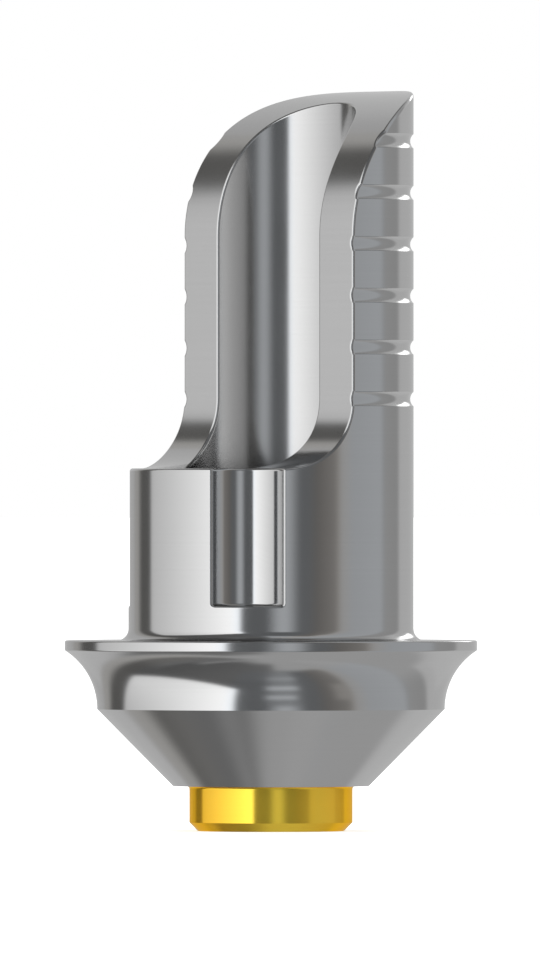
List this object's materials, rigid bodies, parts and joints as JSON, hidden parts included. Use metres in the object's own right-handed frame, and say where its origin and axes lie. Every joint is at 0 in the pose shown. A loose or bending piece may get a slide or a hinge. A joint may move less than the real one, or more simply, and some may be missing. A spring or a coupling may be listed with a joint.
{
  "type": "dental abutment",
  "caption": "Titanium abutment base for a cemented crown: a side-opened ringed chimney on a flared flange, with a gold-coloured spigot for the implant.",
  "frame": {"origin": "on the screw axis, in the plane of the seat that meets the implant", "axes": "+Z along the screw axis, up the chimney; the chimney opens towards -Y; the YZ plane is the mirror plane"},
  "size_m": [0.0052, 0.0052, 0.0095],
  "materials": {
    "titanium": "polished titanium, with gold anodising on the spigot below the seat"
  },
  "bodies": {
    "root": {"abutment": "titanium"}
  },
  "joints": []
}
